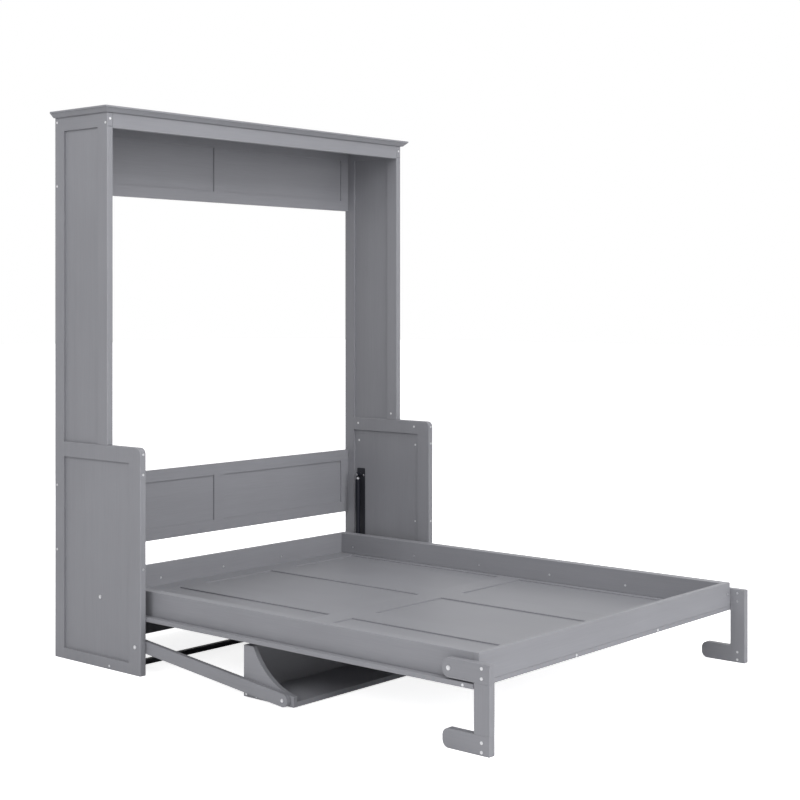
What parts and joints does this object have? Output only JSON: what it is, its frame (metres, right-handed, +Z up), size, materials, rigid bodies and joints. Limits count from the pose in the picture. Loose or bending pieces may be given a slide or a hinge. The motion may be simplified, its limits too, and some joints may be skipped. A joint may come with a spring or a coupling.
{
  "type": "wall bed",
  "caption": "Fold-down wall bed with cabinet sides, crown and back panels, framed deck, swing-out legs, gas struts and a shelf desk on parallel links.",
  "frame": {"origin": "on the floor at the centre of the open bed's footprint", "axes": "+X across the bed, +Y towards the wall the cabinet stands against, +Z up; the open bed's foot faces -Y"},
  "size_m": [1.812, 2.1794, 2.198],
  "materials": {
    "grey_board": "matt grey paint on board",
    "black_steel": "satin black powder coat",
    "bolt_steel": "zinc plated",
    "strut_black": "satin black",
    "rod_chrome": "polished"
  },
  "bodies": {
    "cabinet": {"left_side_back_stile": "grey_board", "left_side_front_stile": "grey_board", "left_side_top_rail": "grey_board", "left_side_upper_panel": "grey_board", "left_side_arm_panel": "grey_board", "right_side_back_stile": "grey_board", "right_side_front_stile": "grey_board", "right_side_top_rail": "grey_board", "right_side_upper_panel": "grey_board", "right_side_arm_panel": "grey_board", "crown_board": "grey_board", "crown_fascia": "grey_board", "back_top_panel": "grey_board", "headboard_panel": "grey_board", "rear_bottom_rail": "grey_board", "steel_tie_bar": "black_steel", "strut_mounts": "black_steel", "cabinet_screws": "bolt_steel", "cabinet_pivot_bolts": "bolt_steel"},
    "bed": {"door_left_stile": "grey_board", "door_right_stile": "grey_board", "door_left_mullion": "grey_board", "door_right_mullion": "grey_board", "door_head_rail": "grey_board", "door_cross_rail": "grey_board", "door_foot_rail": "grey_board", "door_head_left_panel": "grey_board", "door_head_middle_panel": "grey_board", "door_head_right_panel": "grey_board", "door_foot_left_panel": "grey_board", "door_foot_middle_panel": "grey_board", "door_foot_right_panel": "grey_board", "bed_left_rail": "grey_board", "bed_right_rail": "grey_board", "bed_head_rail": "grey_board", "bed_foot_rail": "grey_board", "bed_hinge_plates": "black_steel", "desk_hinge_brackets": "black_steel", "bed_screws": "bolt_steel"},
    "desk": {"desk_right_side": "grey_board", "desk_left_side": "grey_board", "desk_bottom": "grey_board", "desk_back": "grey_board", "desk_hinge_leaves": "black_steel", "desk_bolts": "bolt_steel"},
    "left_leg": {"left_leg_arm": "grey_board", "left_leg_upright": "grey_board", "left_leg_foot": "grey_board", "left_leg_bolts": "bolt_steel"},
    "left_link": {"left_desk_link": "grey_board"},
    "left_cylinder": {"left_strut_cylinder": "strut_black"},
    "left_rod": {"left_strut_rod": "rod_chrome"},
    "right_leg": {"right_leg_arm": "grey_board", "right_leg_upright": "grey_board", "right_leg_foot": "grey_board", "right_leg_bolts": "bolt_steel"},
    "right_link": {"right_desk_link": "grey_board"},
    "right_cylinder": {"right_strut_cylinder": "strut_black"},
    "right_rod": {"right_strut_rod": "rod_chrome"}
  },
  "joints": [
    {"name": "bed_fold", "type": "hinge", "parent": "cabinet", "child": "bed", "pos_m": [0, 0.81265, 0.273], "axis": [-1, 0, 0], "range_deg": [0, 90]},
    {"name": "left_leg_swing", "type": "hinge", "parent": "bed", "child": "left_leg", "pos_m": [-0.8304, -0.92435, 0.258], "axis": [-1, 0, 0], "range_deg": [0, 180]},
    {"name": "right_leg_swing", "type": "hinge", "parent": "bed", "child": "right_leg", "pos_m": [0.8304, -0.92435, 0.258], "axis": [-1, 0, 0], "range_deg": [0, 180]},
    {"name": "desk_level", "type": "hinge", "parent": "bed", "child": "desk", "pos_m": [0, 0.04665, 0.1915], "axis": [-1, 0, 0], "range_deg": [-90, 0]},
    {"name": "left_link_turn", "type": "hinge", "parent": "cabinet", "child": "left_link", "pos_m": [-0.839, 0.58965, 0.1085], "axis": [-1, 0, 0], "range_deg": [0, 90]},
    {"name": "left_strut_tilt", "type": "hinge", "parent": "cabinet", "child": "left_cylinder", "pos_m": [-0.836, 0.99465, 0.595], "axis": [-1, 0, 0], "range_deg": [0, 22.4]},
    {"name": "left_strut_stroke", "type": "slide", "parent": "left_cylinder", "child": "left_rod", "axis": [0, 0, -1], "range_m": [0, 0.199]},
    {"name": "right_link_turn", "type": "hinge", "parent": "cabinet", "child": "right_link", "pos_m": [0.839, 0.58965, 0.1085], "axis": [-1, 0, 0], "range_deg": [0, 90]},
    {"name": "right_strut_tilt", "type": "hinge", "parent": "cabinet", "child": "right_cylinder", "pos_m": [0.836, 0.99465, 0.595], "axis": [-1, 0, 0], "range_deg": [0, 22.4]},
    {"name": "right_strut_stroke", "type": "slide", "parent": "right_cylinder", "child": "right_rod", "axis": [0, 0, -1], "range_m": [0, 0.199]}
  ],
  "couplings": [
    {"joint": "left_leg_swing", "follows": "bed_fold", "ratio": 2},
    {"joint": "right_leg_swing", "follows": "bed_fold", "ratio": 2},
    {"joint": "desk_level", "follows": "bed_fold", "ratio": -1},
    {"joint": "left_link_turn", "follows": "bed_fold", "ratio": 1},
    {"joint": "left_strut_tilt", "follows": "bed_fold", "ratio": 0.2481},
    {"joint": "left_strut_stroke", "follows": "bed_fold", "m_per_rad": 0.12596},
    {"joint": "right_link_turn", "follows": "bed_fold", "ratio": 1},
    {"joint": "right_strut_tilt", "follows": "bed_fold", "ratio": 0.2481},
    {"joint": "right_strut_stroke", "follows": "bed_fold", "m_per_rad": 0.12596}
  ]
}
